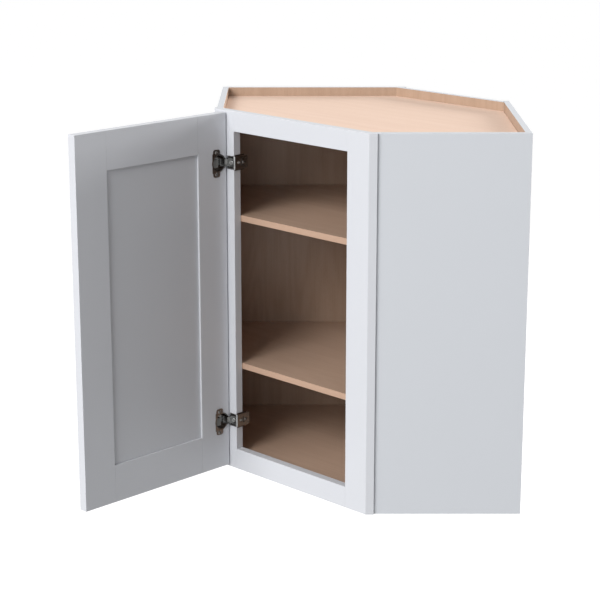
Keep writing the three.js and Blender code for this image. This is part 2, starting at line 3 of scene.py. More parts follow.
import bmesh
import bpy
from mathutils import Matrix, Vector


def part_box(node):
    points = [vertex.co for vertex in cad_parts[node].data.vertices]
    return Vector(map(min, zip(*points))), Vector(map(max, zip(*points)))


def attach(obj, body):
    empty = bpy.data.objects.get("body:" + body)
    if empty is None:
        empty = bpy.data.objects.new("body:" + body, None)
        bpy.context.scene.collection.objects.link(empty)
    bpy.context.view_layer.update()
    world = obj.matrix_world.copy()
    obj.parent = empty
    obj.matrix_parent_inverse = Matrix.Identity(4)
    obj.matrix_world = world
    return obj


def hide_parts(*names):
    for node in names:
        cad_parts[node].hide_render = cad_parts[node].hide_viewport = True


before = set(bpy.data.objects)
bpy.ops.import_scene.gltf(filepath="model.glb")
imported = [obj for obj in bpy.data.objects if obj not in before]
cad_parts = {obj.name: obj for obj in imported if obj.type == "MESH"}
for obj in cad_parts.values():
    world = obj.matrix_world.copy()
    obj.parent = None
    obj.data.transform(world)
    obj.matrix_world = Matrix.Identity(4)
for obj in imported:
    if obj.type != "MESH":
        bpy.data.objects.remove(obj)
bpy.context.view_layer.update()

# The camera
# The photograph looks down on the open cabinet from its front right, at about head height, through a
# long lens, so that the uprights stay almost parallel.
CAMERA_PLACE = (2.4775, -2.9394, 1.3339)
CAMERA_TILT = math.radians(74.978)
CAMERA_TURN = math.radians(44.992)
LENS_MM = 108.0
SENSOR_MM = 36.0
camera_lens = bpy.data.cameras.new("front_right_camera")
camera_lens.lens = LENS_MM
camera_lens.sensor_width = SENSOR_MM
camera = bpy.data.objects.new("front_right_camera", camera_lens)
camera.location = CAMERA_PLACE
camera.rotation_euler = (CAMERA_TILT, 0.0, CAMERA_TURN)
bpy.context.scene.collection.objects.link(camera)
bpy.context.scene.camera = camera
bpy.context.scene.view_settings.view_transform = "Standard"

# The studio
# A white room with a pale floor 1.37 m below the cabinet, which is how high such a cabinet hangs, one
# large soft lamp high in front, the light that the front wall throws back, and a low lamp behind.
HANGING_HEIGHT = 1.37
WHITE = (1.0, 1.0, 1.0, 1.0)
ROOM_LIGHT = 0.29
BACKDROP_LIGHT = 1.0
FLOOR_REACH = 30.0
FLOOR_GREY = (0.24, 0.24, 0.24, 1.0)
FLOOR_ROUGHNESS = 0.9
FLOOR_LIGHT = 0.86
FRONT_AIM = (0.0, -0.45, 0.4)
BACK_AIM = (0.0, -0.45, 0.6)


def add_node(tree, kind, values=None, **settings):
    made = tree.nodes.new(kind)
    for key, setting in settings.items():
        setattr(made, key, setting)
    for key, value in (values or {}).items():
        made.inputs[key].default_value = value
    return made


def seen_directly(tree):
    """One for what the camera, a gloss or a clear piece sees, and nought for plain light."""
    path = add_node(tree, "ShaderNodeLightPath")
    gloss = add_node(tree, "ShaderNodeMath", operation="MAXIMUM")
    either = add_node(tree, "ShaderNodeMath", operation="MAXIMUM")
    tree.links.new(path.outputs["Is Glossy Ray"], gloss.inputs[0])
    tree.links.new(path.outputs["Is Transmission Ray"], gloss.inputs[1])
    tree.links.new(path.outputs["Is Camera Ray"], either.inputs[0])
    tree.links.new(gloss.outputs[0], either.inputs[1])
    return either.outputs[0]


room = bpy.data.worlds.new("white_room")
bpy.context.scene.world = room
room.use_nodes = True
room_tree = room.node_tree
room_glow = room_tree.nodes["Background"]
room_glow.inputs["Color"].default_value = WHITE
room_level = add_node(room_tree, "ShaderNodeMapRange", {"To Min": ROOM_LIGHT, "To Max": BACKDROP_LIGHT})
room_tree.links.new(seen_directly(room_tree), room_level.inputs["Value"])
room_tree.links.new(room_level.outputs["Result"], room_glow.inputs["Strength"])

floor_mesh = bpy.data.meshes.new("studio_floor")
floor_corners = [
    (FLOOR_REACH * across, FLOOR_REACH * away, -HANGING_HEIGHT)
    for across, away in ((-1, -1), (1, -1), (1, 1), (-1, 1))
]
floor_mesh.from_pydata(floor_corners, [], [(0, 1, 2, 3)])
floor = bpy.data.objects.new("studio_floor", floor_mesh)
bpy.context.scene.collection.objects.link(floor)

floor_paint = bpy.data.materials.new("studio_floor_paint")
floor_paint.use_nodes = True
floor_tree = floor_paint.node_tree
floor_shader = floor_tree.nodes["Principled BSDF"]
floor_shader.inputs["Base Color"].default_value = FLOOR_GREY
floor_shader.inputs["Roughness"].default_value = FLOOR_ROUGHNESS
floor_shader.inputs["Emission Color"].default_value = WHITE
floor_level = add_node(floor_tree, "ShaderNodeMapRange", {"To Min": 0.0, "To Max": FLOOR_LIGHT})
floor_tree.links.new(seen_directly(floor_tree), floor_level.inputs["Value"])
floor_tree.links.new(floor_level.outputs["Result"], floor_shader.inputs["Emission Strength"])
floor_mesh.materials.append(floor_paint)


def soft_lamp(name, place, aim, width, height, power):
    lamp = bpy.data.lights.new(name, "AREA")
    lamp.shape = "RECTANGLE"
    lamp.size = width
    lamp.size_y = height
    lamp.energy = power
    stand = bpy.data.objects.new(name, lamp)
    stand.location = place
    stand.rotation_euler = (Vector(aim) - Vector(place)).to_track_quat("-Z", "Y").to_euler()
    bpy.context.scene.collection.objects.link(stand)


soft_lamp("front_softbox", (0.56, -10.4, 6.8), FRONT_AIM, width=8.2, height=5.4, power=1330.0)
soft_lamp("front_wall_bounce", (1.4, -8.8, 2.6), FRONT_AIM, width=14.0, height=4.6, power=180.0)
soft_lamp("back_softbox", (0.5, 6.0, 2.1), BACK_AIM, width=5.0, height=1.6, power=480.0)

# Boards of the carcass
# Two grey laminated sides, two backs against the walls and a narrow back across the corner, all of
# 12.7 mm board faced with maple inside, with grey banding on their edges, cut square and glued up.
BOARD_EASE = 0.0004
MERGE_DISTANCE = 0.000002
FLAT_WITHIN = math.radians(0.5)
ARRIS_ANGLE = math.radians(30)
SHORTEST_ARRIS = 0.002
LEAST_BEND = 0.01
GREATEST_BEND = 0.5
WIDEST_BENT_FACE = 0.0001
CREASE_ANGLE = 0.9
HOLE_DEPTH = 0.001
BOARD_MARGIN = 0.02
NEARLY_SQUARE = 0.9
DIAGONAL = 0.7071
MAPLE, LAMINATE, BARE_CORE = 0, 1, 2
FACED_RELIEF = (0.25, 0.0002)
CORE_RELIEF = (0.6, 0.0004)
GREY_LAMINATE = (0.640, 0.662, 0.700, 1.0)
MAPLE_PALE = (0.540, 0.380, 0.284, 1.0)
MAPLE_DARK = (0.470, 0.322, 0.231, 1.0)
# Upright maple tones, darker than the flat ones as painted shade.
UPRIGHT_SHADE_PALE = (0.470, 0.333, 0.245, 1.0)
UPRIGHT_SHADE_DARK = (0.388, 0.265, 0.187, 1.0)
CHIP_PALE = (0.560, 0.410, 0.270, 1.0)
CHIP_DARK = (0.300, 0.200, 0.120, 1.0)
PORE_TINT = (0.82, 0.78, 0.74, 1.0)
CLOUD_TINT = (0.93, 0.93, 0.925, 1.0)
RINGS = 16.0
LINE_SHARE = 0.35
BAND_SHARE = 0.30
WOOD_SHARE = 0.35
TINT_SHARE = 0.6
UPWARDS = Vector((0.0, 0.0, 1.0))


def group_tree(name, inputs, outputs, kind="ShaderNodeTree"):
    tree = bpy.data.node_groups.new(name, kind)
    for label, holds, value in inputs:
        socket = tree.interface.new_socket(label, in_out="INPUT", socket_type="NodeSocket" + holds)
        if value is not None:
            socket.default_value = value
    for label, holds in outputs:
        tree.interface.new_socket(label, in_out="OUTPUT", socket_type="NodeSocket" + holds)
    return tree, add_node(tree, "NodeGroupInput"), add_node(tree, "NodeGroupOutput")


def math_step(tree, operation, first, second, clamp=False):
    step = add_node(tree, "ShaderNodeMath", operation=operation, use_clamp=clamp)
    for socket, value in zip(step.inputs, (first, second)):
        if isinstance(value, (int, float)):
            socket.default_value = value
        else:
            tree.links.new(value, socket)
    return step.outputs[0]


def stretched(tree, split, along, across):
    """The grain vector with its length times along and its other two directions times across."""
    joined = add_node(tree, "ShaderNodeCombineXYZ")
    tree.links.new(math_step(tree, "MULTIPLY", split.outputs["X"], along), joined.inputs["X"])
    tree.links.new(math_step(tree, "MULTIPLY", split.outputs["Y"], across), joined.inputs["Y"])
    tree.links.new(math_step(tree, "MULTIPLY", split.outputs["Z"], across), joined.inputs["Z"])
    return joined.outputs[0]


def noise(tree, vector, detail, roughness=0.5, distortion=0.0):
    made = add_node(
        tree,
        "ShaderNodeTexNoise",
        {"Scale": 1.0, "Detail": detail, "Roughness": roughness, "Distortion": distortion},
    )
    tree.links.new(vector, made.inputs["Vector"])
    return made.outputs["Fac"]


def remapped(tree, value, low, high, to_low=0.0, to_high=1.0):
    made = add_node(
        tree,
        "ShaderNodeMapRange",
        {"From Min": low, "From Max": high, "To Min": to_low, "To Max": to_high},
        interpolation_type="SMOOTHSTEP",
    )
    tree.links.new(value, made.inputs["Value"])
    return made.outputs["Result"]


def set_between(tree, value, source, low, high, goal):
    """Lead a value to an output, spread between two inputs of its group."""
    made = add_node(tree, "ShaderNodeMapRange")
    tree.links.new(value, made.inputs["Value"])
    tree.links.new(source.outputs[low], made.inputs["To Min"])
    tree.links.new(source.outputs[high], made.inputs["To Max"])
    tree.links.new(made.outputs["Result"], goal)


def blended(tree, mask, first, second, blend_type="MIX"):
    made = add_node(tree, "ShaderNodeMix", data_type="RGBA", blend_type=blend_type)
    for socket, value in ((made.inputs[0], mask), (made.inputs[6], first), (made.inputs[7], second)):
        if isinstance(value, (int, float, tuple)):
            socket.default_value = value
        else:
            tree.links.new(value, socket)
    return made.outputs[2]


# Flat-cut maple: fine lines and broad, faint cathedral figure along X of the vector, and short pores.
maple_grain, grain_in, grain_out = group_tree(
    "maple_grain",
    [
        ("Vector", "Vector", None),
        ("Pale Wood", "Color", MAPLE_PALE),
        ("Dark Wood", "Color", MAPLE_DARK),
        ("Figure", "Float", 0.35),
        ("Pores", "Float", 0.5),
        ("Sheen Low", "Float", 0.28),
        ("Sheen High", "Float", 0.38),
    ],
    [("Colour", "Color"), ("Height", "Float"), ("Roughness", "Float")],
)
grain_split = add_node(maple_grain, "ShaderNodeSeparateXYZ")
maple_grain.links.new(grain_in.outputs["Vector"], grain_split.inputs[0])
line_way = stretched(maple_grain, grain_split, along=9.0, across=620.0)
grain_lines = noise(maple_grain, line_way, detail=3.0, roughness=0.65)
band_way = stretched(maple_grain, grain_split, along=2.2, across=46.0)
grain_bands = noise(maple_grain, band_way, detail=2.0)
ring_way = stretched(maple_grain, grain_split, along=1.1, across=9.0)
grain_rings = noise(maple_grain, ring_way, detail=1.5, roughness=0.45, distortion=0.35)
pore_way = stretched(maple_grain, grain_split, along=110.0, across=1500.0)
grain_pores = noise(maple_grain, pore_way, detail=1.0)
ring_wave = math_step(maple_grain, "PINGPONG", math_step(maple_grain, "MULTIPLY", grain_rings, RINGS), 0.5)
ring_edge = remapped(maple_grain, ring_wave, low=0.05, high=0.5)
pore_mask = remapped(maple_grain, grain_pores, low=0.63, high=0.74)
clear_lines = remapped(maple_grain, grain_lines, low=0.3, high=0.7)
clear_bands = remapped(maple_grain, grain_bands, low=0.3, high=0.7)
figure_share = math_step(maple_grain, "MULTIPLY", ring_edge, grain_in.outputs["Figure"])
line_share = math_step(maple_grain, "MULTIPLY", clear_lines, LINE_SHARE)
band_share = math_step(maple_grain, "MULTIPLY", clear_bands, BAND_SHARE)
grain_tone = math_step(
    maple_grain, "ADD", math_step(maple_grain, "ADD", figure_share, line_share), band_share, clamp=True
)
grain_colour = blended(maple_grain, grain_tone, grain_in.outputs["Pale Wood"], grain_in.outputs["Dark Wood"])
pore_depth = math_step(maple_grain, "MULTIPLY", pore_mask, grain_in.outputs["Pores"])
pore_tint = blended(maple_grain, 1.0, grain_in.outputs["Dark Wood"], PORE_TINT, "MULTIPLY")
maple_grain.links.new(blended(maple_grain, pore_depth, grain_colour, pore_tint), grain_out.inputs["Colour"])
maple_grain.links.new(math_step(maple_grain, "SUBTRACT", grain_lines, pore_depth), grain_out.inputs["Height"])
set_between(maple_grain, grain_tone, grain_in, "Sheen Low", "Sheen High", grain_out.inputs["Roughness"])

# Sprayed paint: faint clouding, the orange peel of the spray, and a trace of the wood's grain below.
paint_film, film_in, film_out = group_tree(
    "paint_film",
    [
        ("Vector", "Vector", None),
        ("Paint", "Color", GREY_LAMINATE),
        ("Clouding", "Float", 0.5),
        ("Wood Below", "Float", 0.5),
        ("Sheen Low", "Float", 0.34),
        ("Sheen High", "Float", 0.42),
    ],
    [("Colour", "Color"), ("Height", "Float"), ("Roughness", "Float")],
)
film_split = add_node(paint_film, "ShaderNodeSeparateXYZ")
paint_film.links.new(film_in.outputs["Vector"], film_split.inputs[0])
cloud_way = stretched(paint_film, film_split, along=5.0, across=7.0)
film_clouds = noise(paint_film, cloud_way, detail=3.0, roughness=0.55)
peel_way = stretched(paint_film, film_split, along=760.0, across=760.0)
film_peel = noise(paint_film, peel_way, detail=1.5)
wood_way = stretched(paint_film, film_split, along=12.0, across=520.0)
film_wood = noise(paint_film, wood_way, detail=2.0, roughness=0.6)
film_cloud_share = math_step(paint_film, "MULTIPLY", film_clouds, film_in.outputs["Clouding"])
film_wood_share = math_step(paint_film, "MULTIPLY", film_wood, film_in.outputs["Wood Below"])
film_shade = blended(paint_film, 1.0, film_in.outputs["Paint"], CLOUD_TINT, "MULTIPLY")
film_wood_tone = math_step(paint_film, "MULTIPLY", film_wood_share, WOOD_SHARE)
film_tone = math_step(paint_film, "ADD", film_cloud_share, film_wood_tone)
film_mask = math_step(paint_film, "MULTIPLY", film_tone, TINT_SHARE, clamp=True)
film_colour = blended(paint_film, film_mask, film_in.outputs["Paint"], film_shade)
paint_film.links.new(film_colour, film_out.inputs["Colour"])
paint_film.links.new(math_step(paint_film, "ADD", film_peel, film_wood_share), film_out.inputs["Height"])
set_between(paint_film, film_clouds, film_in, "Sheen Low", "Sheen High", film_out.inputs["Roughness"])


def finish_of(name, group, values, turn, relief, metallic=0.0, specular=0.5):
    """A Principled material with a finish group, its grain turned to run along the piece, and its relief."""
    material = bpy.data.materials.new(name)
    material.use_nodes = True
    tree = material.node_tree
    shader = tree.nodes["Principled BSDF"]
    shader.inputs["Metallic"].default_value = metallic
    shader.inputs["Specular IOR Level"].default_value = specular
    place = add_node(tree, "ShaderNodeTexCoord")
    turned = add_node(tree, "ShaderNodeMapping")
    turned.inputs["Rotation"].default_value = [math.radians(angle) for angle in turn]
    finish = add_node(tree, "ShaderNodeGroup", node_tree=group)
    for key, value in values.items():
        finish.inputs[key].default_value = value
    strength, depth = relief
    bump = add_node(tree, "ShaderNodeBump", {"Strength": strength, "Distance": depth})
    tree.links.new(place.outputs["Object"], turned.inputs["Vector"])
    tree.links.new(turned.outputs["Vector"], finish.inputs["Vector"])
    tree.links.new(finish.outputs["Colour"], shader.inputs["Base Color"])
    tree.links.new(finish.outputs["Roughness"], shader.inputs["Roughness"])
    tree.links.new(finish.outputs["Height"], bump.inputs["Height"])
    tree.links.new(bump.outputs["Normal"], shader.inputs["Normal"])
    return material


ALONG_X = (0.0, 0.0, 0.0)
ALONG_Y = (0.0, 0.0, 90.0)
ALONG_Z = (0.0, 90.0, 0.0)
grey_laminate = finish_of(
    "grey_laminate", paint_film,
    {"Paint": GREY_LAMINATE, "Clouding": 0.35, "Wood Below": 0.15, "Sheen Low": 0.38, "Sheen High": 0.46},
    ALONG_Z, FACED_RELIEF,
)
# The boards' upright maple faces are a darker copy of the shelves' maple: painted shade.
shaded_upright_maple = finish_of(
    "shaded_upright_maple", maple_grain,
    {"Pale Wood": UPRIGHT_SHADE_PALE, "Dark Wood": UPRIGHT_SHADE_DARK, "Figure": 0.25},
    ALONG_Z, FACED_RELIEF,
)

chip_core, chip_in, chip_out = group_tree(
    "chip_core",
    [("Vector", "Vector", None), ("Pale Chips", "Color", CHIP_PALE), ("Dark Chips", "Color", CHIP_DARK)],
    [("Colour", "Color"), ("Height", "Float"), ("Roughness", "Float")],
)
chip_split = add_node(chip_core, "ShaderNodeSeparateXYZ")
chip_core.links.new(chip_in.outputs["Vector"], chip_split.inputs[0])
chip_bits = add_node(chip_core, "ShaderNodeTexVoronoi", {"Scale": 1.0})
chip_way = stretched(chip_core, chip_split, along=420.0, across=700.0)
chip_core.links.new(chip_way, chip_bits.inputs["Vector"])
chip_edge = chip_bits.outputs["Distance"]
chip_colour = blended(chip_core, chip_edge, chip_in.outputs["Pale Chips"], chip_in.outputs["Dark Chips"])
chip_core.links.new(chip_colour, chip_out.inputs["Colour"])
chip_core.links.new(chip_edge, chip_out.inputs["Height"])
chip_sheen = remapped(chip_core, chip_edge, low=0.0, high=1.0, to_low=0.75, to_high=0.9)
chip_core.links.new(chip_sheen, chip_out.inputs["Roughness"])
raw_core = finish_of("raw_core", chip_core, {}, ALONG_X, CORE_RELIEF, specular=0.2)


def joined_faces(node):
    """The CAD piece as one joined mesh with its flat faces whole."""
    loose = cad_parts[node].data
    solid = bmesh.new()
    corners = [solid.verts.new(vertex.co) for vertex in loose.vertices]
    for face in loose.polygons:
        solid.faces.new([corners[index] for index in face.vertices])
    bmesh.ops.remove_doubles(solid, verts=solid.verts, dist=MERGE_DISTANCE)
    solid.normal_update()
    bmesh.ops.dissolve_limit(solid, angle_limit=FLAT_WITHIN, verts=solid.verts, edges=solid.edges)
    return solid


def outer_arrises(solid, kept_square, shortest):
    """The sharp outward edges, without those that a joint keeps square."""
    return [
        edge
        for edge in solid.edges
        if len(edge.link_faces) == 2
        and edge.is_convex
        and edge.calc_face_angle(0.0) > ARRIS_ANGLE
        and edge.calc_length() > shortest
        and not (kept_square and kept_square(edge))
    ]


def eased_piece(
    name, node, body, ease, materials,
    choose=None, kept_square=None, cuts=(), shortest=SHORTEST_ARRIS,
):
    """A copy of a CAD piece with its arrises eased, dressed face by face, that stands for the piece."""
    solid = joined_faces(node)
    for point, normal in cuts:
        bmesh.ops.bisect_plane(
            solid, geom=solid.verts[:] + solid.edges[:] + solid.faces[:], plane_co=point, plane_no=normal
        )
    for face in solid.faces:
        bent = any(LEAST_BEND < edge.calc_face_angle(0.0) < GREATEST_BEND for edge in face.edges)
        face.smooth = bent and face.calc_area() < WIDEST_BENT_FACE
    bmesh.ops.bevel(
        solid, geom=outer_arrises(solid, kept_square, shortest), offset=ease, segments=2, profile=0.5,
        affect="EDGES", clamp_overlap=shortest < SHORTEST_ARRIS,
    )
    solid.normal_update()
    for face in solid.faces:
        if face.calc_area() < face.calc_perimeter() * ease:
            face.smooth = True
    for edge in solid.edges:
        edge.smooth = edge.calc_face_angle(0.0) < CREASE_ANGLE
    mesh = bpy.data.meshes.new(name)
    solid.to_mesh(mesh)
    solid.free()
    for material in materials:
        mesh.materials.append(material)
    for face in mesh.polygons:
        face.material_index = choose(face.normal, face.center) if choose else 0
    piece = bpy.data.objects.new(name, mesh)
    bpy.context.scene.collection.objects.link(piece)
    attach(piece, body)
    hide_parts(node)


def board_dress(node, inward, outside):
    """Maple on a board's room side, its own finish outside, banded edges, and bare core in its holes."""
    room_side = Vector(inward)
    along = room_side.cross(UPWARDS)
    corners = [vertex.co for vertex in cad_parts[node].data.vertices]
    face_at = max(corner.dot(room_side) for corner in corners)
    places_on = [[corner.dot(way) for corner in corners] for way in (along, UPWARDS)]
    spans = [(min(places), max(places)) for places in places_on]

    def choose(normal, centre):
        towards_room = normal.dot(room_side)
        if towards_room > NEARLY_SQUARE:
            return MAPLE if centre.dot(room_side) > face_at - HOLE_DEPTH else BARE_CORE
        if towards_room < -NEARLY_SQUARE:
            return outside
        in_board = all(
            low + BOARD_MARGIN < place < high - BOARD_MARGIN
            for place, (low, high) in zip((centre.dot(along), centre.z), spans)
        )
        return BARE_CORE if in_board else LAMINATE

    return choose


board_finishes = [shaded_upright_maple, grey_laminate, raw_core]
for hand, side in (("left", -1.0), ("right", 1.0)):
    eased_piece(
        f"{hand}_side_board", f"{hand}_side_panel", "cabinet", BOARD_EASE, board_finishes,
        board_dress(f"{hand}_side_panel", (-side * DIAGONAL, DIAGONAL, 0.0), LAMINATE),
    )
    eased_piece(
        f"{hand}_back_board", f"{hand}_back_panel", "cabinet", BOARD_EASE, board_finishes,
        board_dress(f"{hand}_back_panel", (-side * DIAGONAL, -DIAGONAL, 0.0), MAPLE),
    )
eased_piece(
    "corner_back_board", "corner_back_panel", "cabinet", BOARD_EASE, board_finishes,
    board_dress("corner_back_panel", (0.0, -1.0, 0.0), MAPLE),
)

# Decks and shelves
# Five-sided boards of the same maple-faced stock: a top and a bottom deck let in between the walls, and
# two loose shelves with a maple band on their edges. The top deck's upper side is rough and without
# gloss, and far paler than the rest, as painted light.
# Top deck tones, much paler than the other maple: painted light.
LIT_DECK_PALE = (0.910, 0.695, 0.570, 1.0)
LIT_DECK_DARK = (0.850, 0.630, 0.503, 1.0)
BAND_PALE = (0.530, 0.356, 0.258, 1.0)
BAND_DARK = (0.470, 0.305, 0.212, 1.0)
UPPER_FACE, LOWER_FACE, DECK_EDGE = 0, 1, 2
flat_maple = finish_of("flat_maple", maple_grain, {"Figure": 0.15}, ALONG_X, FACED_RELIEF, specular=0.8)
lit_deck_maple = finish_of(
    "lit_deck_maple", maple_grain,
    {
        "Pale Wood": LIT_DECK_PALE, "Dark Wood": LIT_DECK_DARK, "Figure": 0.15, "Pores": 0.3,
        "Sheen Low": 0.62, "Sheen High": 0.75,
    },
    ALONG_X, FACED_RELIEF, specular=0.01,
)
edge_band = finish_of(
    "edge_band", maple_grain,
    {"Pale Wood": BAND_PALE, "Dark Wood": BAND_DARK, "Figure": 0.1},
    ALONG_X, FACED_RELIEF,
)


def deck_dress(normal, centre):
    """The upper finish on top, plain maple below, and a band on the edges."""
    if abs(normal.z) > NEARLY_SQUARE:
        return UPPER_FACE if normal.z > 0.0 else LOWER_FACE
    return DECK_EDGE


for piece_name, node_name, upper_finish in (
    ("top_deck_board", "top_panel", lit_deck_maple),
    ("bottom_deck_board", "bottom_panel", flat_maple),
    ("upper_shelf_board", "upper_shelf", flat_maple),
    ("lower_shelf_board", "lower_shelf", flat_maple),
):
    eased_piece(
        piece_name, node_name, "cabinet", BOARD_EASE, [upper_finish, flat_maple, edge_band],
        deck_dress,
    )

# Face frame
# Two bevelled stiles and two rails of solid wood, 18 mm thick, glued and sprayed with satin off-white
# paint after they were joined, so that hardly a line shows where a rail meets a stile.
FRAME_EASE = 0.0006
JOINT_REACH = 0.001
CABINET_PAINT = (0.655, 0.668, 0.705, 1.0)
SPRAYED_WOOD = {"Paint": CABINET_PAINT, "Clouding": 0.4, "Wood Below": 0.5}
PAINT_RELIEF = (0.3, 0.0002)
stile_paint = finish_of("stile_paint", paint_film, SPRAYED_WOOD, ALONG_Z, PAINT_RELIEF)
rail_paint = finish_of("rail_paint", paint_film, SPRAYED_WOOD, ALONG_X, PAINT_RELIEF)
top_rail_low, top_rail_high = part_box("top_rail")
bottom_rail_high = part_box("bottom_rail")[1]


def middle_of(edge):
    """The point halfway along an edge."""
    return (edge.verts[0].co + edge.verts[1].co) / 2


def frame_rail_end(edge):
    return abs(middle_of(edge).x) > top_rail_high.x - JOINT_REACH


for hand, side in (("left", -1.0), ("right", 1.0)):
    inner_x = top_rail_high.x * side

    def against_rail(edge, inner_x=inner_x):
        middle = middle_of(edge)
        beside = abs(middle.x - inner_x) < JOINT_REACH
        return beside and not bottom_rail_high.z < middle.z < top_rail_low.z

    eased_piece(
        f"{hand}_frame_stile", f"{hand}_stile", "cabinet", FRAME_EASE, [stile_paint],
        kept_square=against_rail,
        cuts=[((0, 0, bottom_rail_high.z), UPWARDS), ((0, 0, top_rail_low.z), UPWARDS)],
    )
for piece_name, node_name in (("top_frame_rail", "top_rail"), ("bottom_frame_rail", "bottom_rail")):
    eased_piece(
        piece_name, node_name, "cabinet", FRAME_EASE, [rail_paint],
        kept_square=frame_rail_end,
    )

# Door
# A framed door: stiles the full height, rails tongued between them, and a flat panel held in their
# grooves, all sprayed with one paint, the panel's darker as painted shade. It stands open at a right angle.
DOOR_EASE = 0.0006
PANEL_EASE = 0.0003
TONGUE_REACH = 0.012
# The panel's paint is a little darker than the frame's: painted shade in the door's recess.
PANEL_PAINT_SHADED = (0.612, 0.624, 0.658, 1.0)
door_stile_paint = finish_of("door_stile_paint", paint_film, SPRAYED_WOOD, ALONG_Z, PAINT_RELIEF)
door_rail_paint = finish_of("door_rail_paint", paint_film, SPRAYED_WOOD, ALONG_Y, PAINT_RELIEF)
door_panel_shaded_paint = finish_of(
    "door_panel_shaded_paint", paint_film, {"Paint": PANEL_PAINT_SHADED, "Clouding": 0.5, "Wood Below": 0.1},
    ALONG_Z, PAINT_RELIEF,
)
hinge_stile_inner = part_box("door_hinge_stile")[0].y
free_stile_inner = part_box("door_free_stile")[1].y
lower_rail_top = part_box("door_bottom_rail")[1].z
upper_rail_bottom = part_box("door_top_rail")[0].z


def beside_door_rail(edge):
    middle = middle_of(edge)
    inner_edge = min(abs(middle.y - hinge_stile_inner), abs(middle.y - free_stile_inner)) < TONGUE_REACH
    return inner_edge and not lower_rail_top < middle.z < upper_rail_bottom


def door_rail_end(edge):
    middle = middle_of(edge)
    return middle.y > hinge_stile_inner - JOINT_REACH or middle.y < free_stile_inner + JOINT_REACH


rail_heights = [((0, 0, lower_rail_top), UPWARDS), ((0, 0, upper_rail_bottom), UPWARDS)]
for piece_name, node_name in (
    ("door_hinge_side_stile", "door_hinge_stile"),
    ("door_free_side_stile", "door_free_stile"),
):
    eased_piece(
        piece_name, node_name, "door", DOOR_EASE, [door_stile_paint],
        kept_square=beside_door_rail, cuts=rail_heights,
    )
for piece_name, node_name in (("door_upper_rail", "door_top_rail"), ("door_lower_rail", "door_bottom_rail")):
    eased_piece(
        piece_name, node_name, "door", DOOR_EASE, [door_rail_paint],
        kept_square=door_rail_end,
    )
eased_piece("door_flat_panel", "door_centre_panel", "door", PANEL_EASE, [door_panel_shaded_paint])

# Hinges
# Two compact concealed hinges of pressed and nickel-plated steel: a cup let into the door, a pin across
# it, an arm that wraps the frame's stile, and the plate below the arm, hooked behind the stile.
HINGE_EASE = 0.00022
PLATE_RELIEF = (0.15, 0.00005)
PLASTIC_RELIEF = (0.1, 0.00005)
NICKEL_BRIGHT = (0.40, 0.405, 0.405, 1.0)
NICKEL_DARK = (0.23, 0.23, 0.228, 1.0)
# Darker nickel tones: painted shade on the hinges' shaded faces.
NICKEL_SHADE_BRIGHT = (0.17, 0.135, 0.115, 1.0)
NICKEL_SHADE_DARK = (0.085, 0.062, 0.05, 1.0)
CAM_BRIGHT = (0.66, 0.66, 0.65, 1.0)
CAM_DARK = (0.46, 0.46, 0.45, 1.0)
DAMPER_PALE = (0.195, 0.200, 0.195, 1.0)
DAMPER_DARK = (0.150, 0.155, 0.150, 1.0)
SLOT_SHADE_PALE = (0.030, 0.028, 0.027, 1.0)
SLOT_SHADE_DARK = (0.014, 0.013, 0.012, 1.0)
# The sheet of painted shade behind each arm's front leaf, and where the leaf starts.
SHADE_SHEET_THICKNESS = 0.0002
SHADE_SHEET_OFF_STILE = 0.00005
SHADE_SHEET_INSET = 0.0011
SHADE_SHEET_CORNER = 0.0015
LEAF_FROM_KNUCKLE = 0.0122
LEAF_TO_STILE = 0.0019
CAM_PROUD = 0.0009
CAM_MARGIN = 0.0001
FLANGE_THICKNESS = 0.0003
DAMPER_BELOW = 0.0035
CUT_EDGE_TILT = 0.8
CUP_FACE_TILT = 0.6
NICKELLED, NICKEL_SHADED, SET_APART = 0, 1, 2
left_stile_low, left_stile_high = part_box("left_stile")
leaf_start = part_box("upper_hinge_arm")[0].x + LEAF_FROM_KNUCKLE
cup_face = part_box("upper_hinge_cup")[1].x
plated_steel, plated_in, plated_out = group_tree(
    "plated_steel",
    [
        ("Vector", "Vector", None),
        ("Bright Plate", "Color", NICKEL_BRIGHT),
        ("Dark Plate", "Color", NICKEL_DARK),
        ("Smooth", "Float", 0.16),
        ("Rough", "Float", 0.34),
    ],
    [("Colour", "Color"), ("Height", "Float"), ("Roughness", "Float")],
)
plated_split = add_node(plated_steel, "ShaderNodeSeparateXYZ")
plated_steel.links.new(plated_in.outputs["Vector"], plated_split.inputs[0])
smudge_way = stretched(plated_steel, plated_split, along=180.0, across=180.0)
plated_smudges = noise(plated_steel, smudge_way, detail=3.0, roughness=0.6)
brushed_way = stretched(plated_steel, plated_split, along=300.0, across=4200.0)
plated_lines = noise(plated_steel, brushed_way, detail=2.0, roughness=0.6)
plated_colour = blended(
    plated_steel, plated_smudges, plated_in.outputs["Bright Plate"], plated_in.outputs["Dark Plate"]
)
plated_steel.links.new(plated_colour, plated_out.inputs["Colour"])
plated_steel.links.new(plated_lines, plated_out.inputs["Height"])
set_between(plated_steel, plated_lines, plated_in, "Smooth", "Rough", plated_out.inputs["Roughness"])
nickel_plate = finish_of("nickel_plate", plated_steel, {}, ALONG_Z, PLATE_RELIEF, metallic=1.0)
